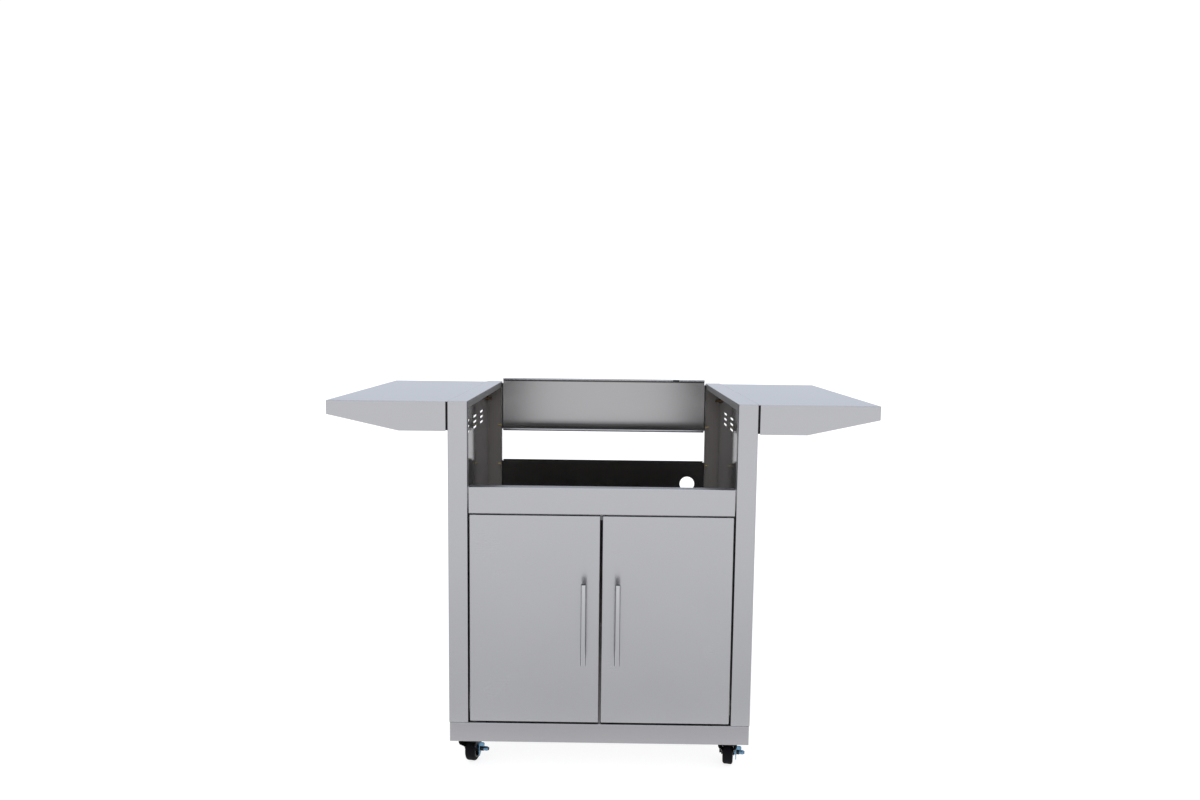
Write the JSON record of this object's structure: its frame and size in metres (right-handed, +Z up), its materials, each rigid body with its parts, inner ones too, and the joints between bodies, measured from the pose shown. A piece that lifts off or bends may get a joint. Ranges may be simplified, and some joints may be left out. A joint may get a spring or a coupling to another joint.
{
  "type": "outdoor oven cart",
  "caption": "Stainless wheeled cart for an outdoor oven: open bay on top, cabinet with hinged doors and bar handles, fold-down side shelves, vented side panels and swivel casters.",
  "frame": {"origin": "on the floor, under the middle of the overall box", "axes": "+Z up, +X to the right seen from the front, front towards -Y"},
  "size_m": [1.358, 0.7384, 0.9597],
  "materials": {
    "stainless": "fine brushed grain",
    "fastener_steel": "dark oxide",
    "yellow_zinc": "yellow zinc plating",
    "zinc": "blue-bright zinc plating",
    "tyre_rubber": "matt rubber",
    "hub_plastic": "moulded",
    "bush_nylon": "moulded",
    "catch_plastic": "moulded"
  },
  "bodies": {
    "cart": {"base_tray": "stainless", "bottom_shelf": "stainless", "bracket_bolts": "fastener_steel", "bracket_nuts": "fastener_steel", "caster_kingpins": "zinc", "caster_plates": "zinc", "caster_screws": "zinc", "front_rail": "stainless", "lower_door_hinges": "fastener_steel", "magnet_catch": "catch_plastic", "rail_nuts": "fastener_steel", "rail_screws": "fastener_steel", "rear_cleats": "fastener_steel", "rear_nuts": "yellow_zinc", "rear_panel": "stainless", "rear_rail": "stainless", "rear_screws": "yellow_zinc", "shelf_brackets_left": "fastener_steel", "shelf_brackets_right": "fastener_steel", "side_panel_left": "stainless", "side_panel_right": "stainless", "upper_door_hinges": "fastener_steel"},
    "door_left": {"door_skin_left": "stainless", "door_liner_left": "stainless", "door_handle_left": "stainless", "handle_posts_left": "stainless", "door_strike_left": "fastener_steel", "hinge_bushes_left": "bush_nylon"},
    "shelf_left": {"side_shelf_left": "stainless", "shelf_stiffener_left": "stainless", "shelf_studs_left": "fastener_steel"},
    "door_right": {"door_skin_right": "stainless", "door_liner_right": "stainless", "door_handle_right": "stainless", "handle_posts_right": "stainless", "door_strike_right": "fastener_steel", "hinge_bushes_right": "bush_nylon"},
    "shelf_right": {"side_shelf_right": "stainless", "shelf_stiffener_right": "stainless", "shelf_studs_right": "fastener_steel"},
    "swivel_front_left": {"caster_fork_front_left": "fastener_steel", "caster_axle_front_left": "zinc"},
    "wheel_front_left": {"caster_tyre_front_left": "tyre_rubber", "caster_hub_front_left": "hub_plastic"},
    "swivel_front_right": {"caster_fork_front_right": "fastener_steel", "caster_axle_front_right": "zinc"},
    "wheel_front_right": {"caster_tyre_front_right": "tyre_rubber", "caster_hub_front_right": "hub_plastic"},
    "swivel_rear_left": {"caster_fork_rear_left": "fastener_steel", "caster_axle_rear_left": "zinc"},
    "wheel_rear_left": {"caster_tyre_rear_left": "tyre_rubber", "caster_hub_rear_left": "hub_plastic"},
    "swivel_rear_right": {"caster_fork_rear_right": "fastener_steel", "caster_axle_rear_right": "zinc"},
    "wheel_rear_right": {"caster_tyre_rear_right": "tyre_rubber", "caster_hub_rear_right": "hub_plastic"},
    "brake_front_left": {"brake_lever_front_left": "zinc"},
    "brake_front_right": {"brake_lever_front_right": "zinc"}
  },
  "joints": [
    {"name": "door_left_hinge", "type": "hinge", "parent": "cart", "child": "door_left", "pos_m": [-0.316, -0.32183, 0.3995], "axis": [0, 0, -1], "range_deg": [0, 110]},
    {"name": "door_right_hinge", "type": "hinge", "parent": "cart", "child": "door_right", "pos_m": [0.316, -0.32183, 0.3995], "axis": [0, 0, 1], "range_deg": [0, 110]},
    {"name": "shelf_left_fold", "type": "hinge", "parent": "cart", "child": "shelf_left", "pos_m": [-0.399, 0.01117, 0.8833], "axis": [0, -1, 0], "range_deg": [0, 90]},
    {"name": "shelf_right_fold", "type": "hinge", "parent": "cart", "child": "shelf_right", "pos_m": [0.399, 0.01117, 0.8833], "axis": [0, 1, 0], "range_deg": [0, 90]},
    {"name": "caster_front_left_swivel", "type": "hinge", "parent": "cart", "child": "swivel_front_left", "pos_m": [-0.333, -0.28882, 0.071], "axis": [0, 0, 1], "continuous": true},
    {"name": "caster_front_left_roll", "type": "hinge", "parent": "swivel_front_left", "child": "wheel_front_left", "pos_m": [-0.32918, -0.26919, 0.032], "axis": [0.9816, -0.1908, 0], "continuous": true},
    {"name": "caster_front_left_brake", "type": "hinge", "parent": "swivel_front_left", "child": "brake_front_left", "pos_m": [-0.32918, -0.26919, 0.032], "axis": [0.9816, -0.1908, 0], "range_deg": [0, 40]},
    {"name": "caster_front_right_swivel", "type": "hinge", "parent": "cart", "child": "swivel_front_right", "pos_m": [0.333, -0.28882, 0.071], "axis": [0, 0, 1], "continuous": true},
    {"name": "caster_front_right_roll", "type": "hinge", "parent": "swivel_front_right", "child": "wheel_front_right", "pos_m": [0.33682, -0.26919, 0.032], "axis": [0.9816, -0.1908, 0], "continuous": true},
    {"name": "caster_front_right_brake", "type": "hinge", "parent": "swivel_front_right", "child": "brake_front_right", "pos_m": [0.33682, -0.26919, 0.032], "axis": [0.9816, -0.1908, 0], "range_deg": [0, 40]},
    {"name": "caster_rear_left_swivel", "type": "hinge", "parent": "cart", "child": "swivel_rear_left", "pos_m": [-0.333, 0.30717, 0.071], "axis": [0, 0, 1], "continuous": true},
    {"name": "caster_rear_left_roll", "type": "hinge", "parent": "swivel_rear_left", "child": "wheel_rear_left", "pos_m": [-0.33439, 0.32713, 0.032], "axis": [0.9976, 0.0698, 0], "continuous": true},
    {"name": "caster_rear_right_swivel", "type": "hinge", "parent": "cart", "child": "swivel_rear_right", "pos_m": [0.333, 0.30717, 0.071], "axis": [0, 0, 1], "continuous": true},
    {"name": "caster_rear_right_roll", "type": "hinge", "parent": "swivel_rear_right", "child": "wheel_rear_right", "pos_m": [0.33509, 0.32706, 0.032], "axis": [0.9945, -0.1045, 0], "continuous": true}
  ]
}
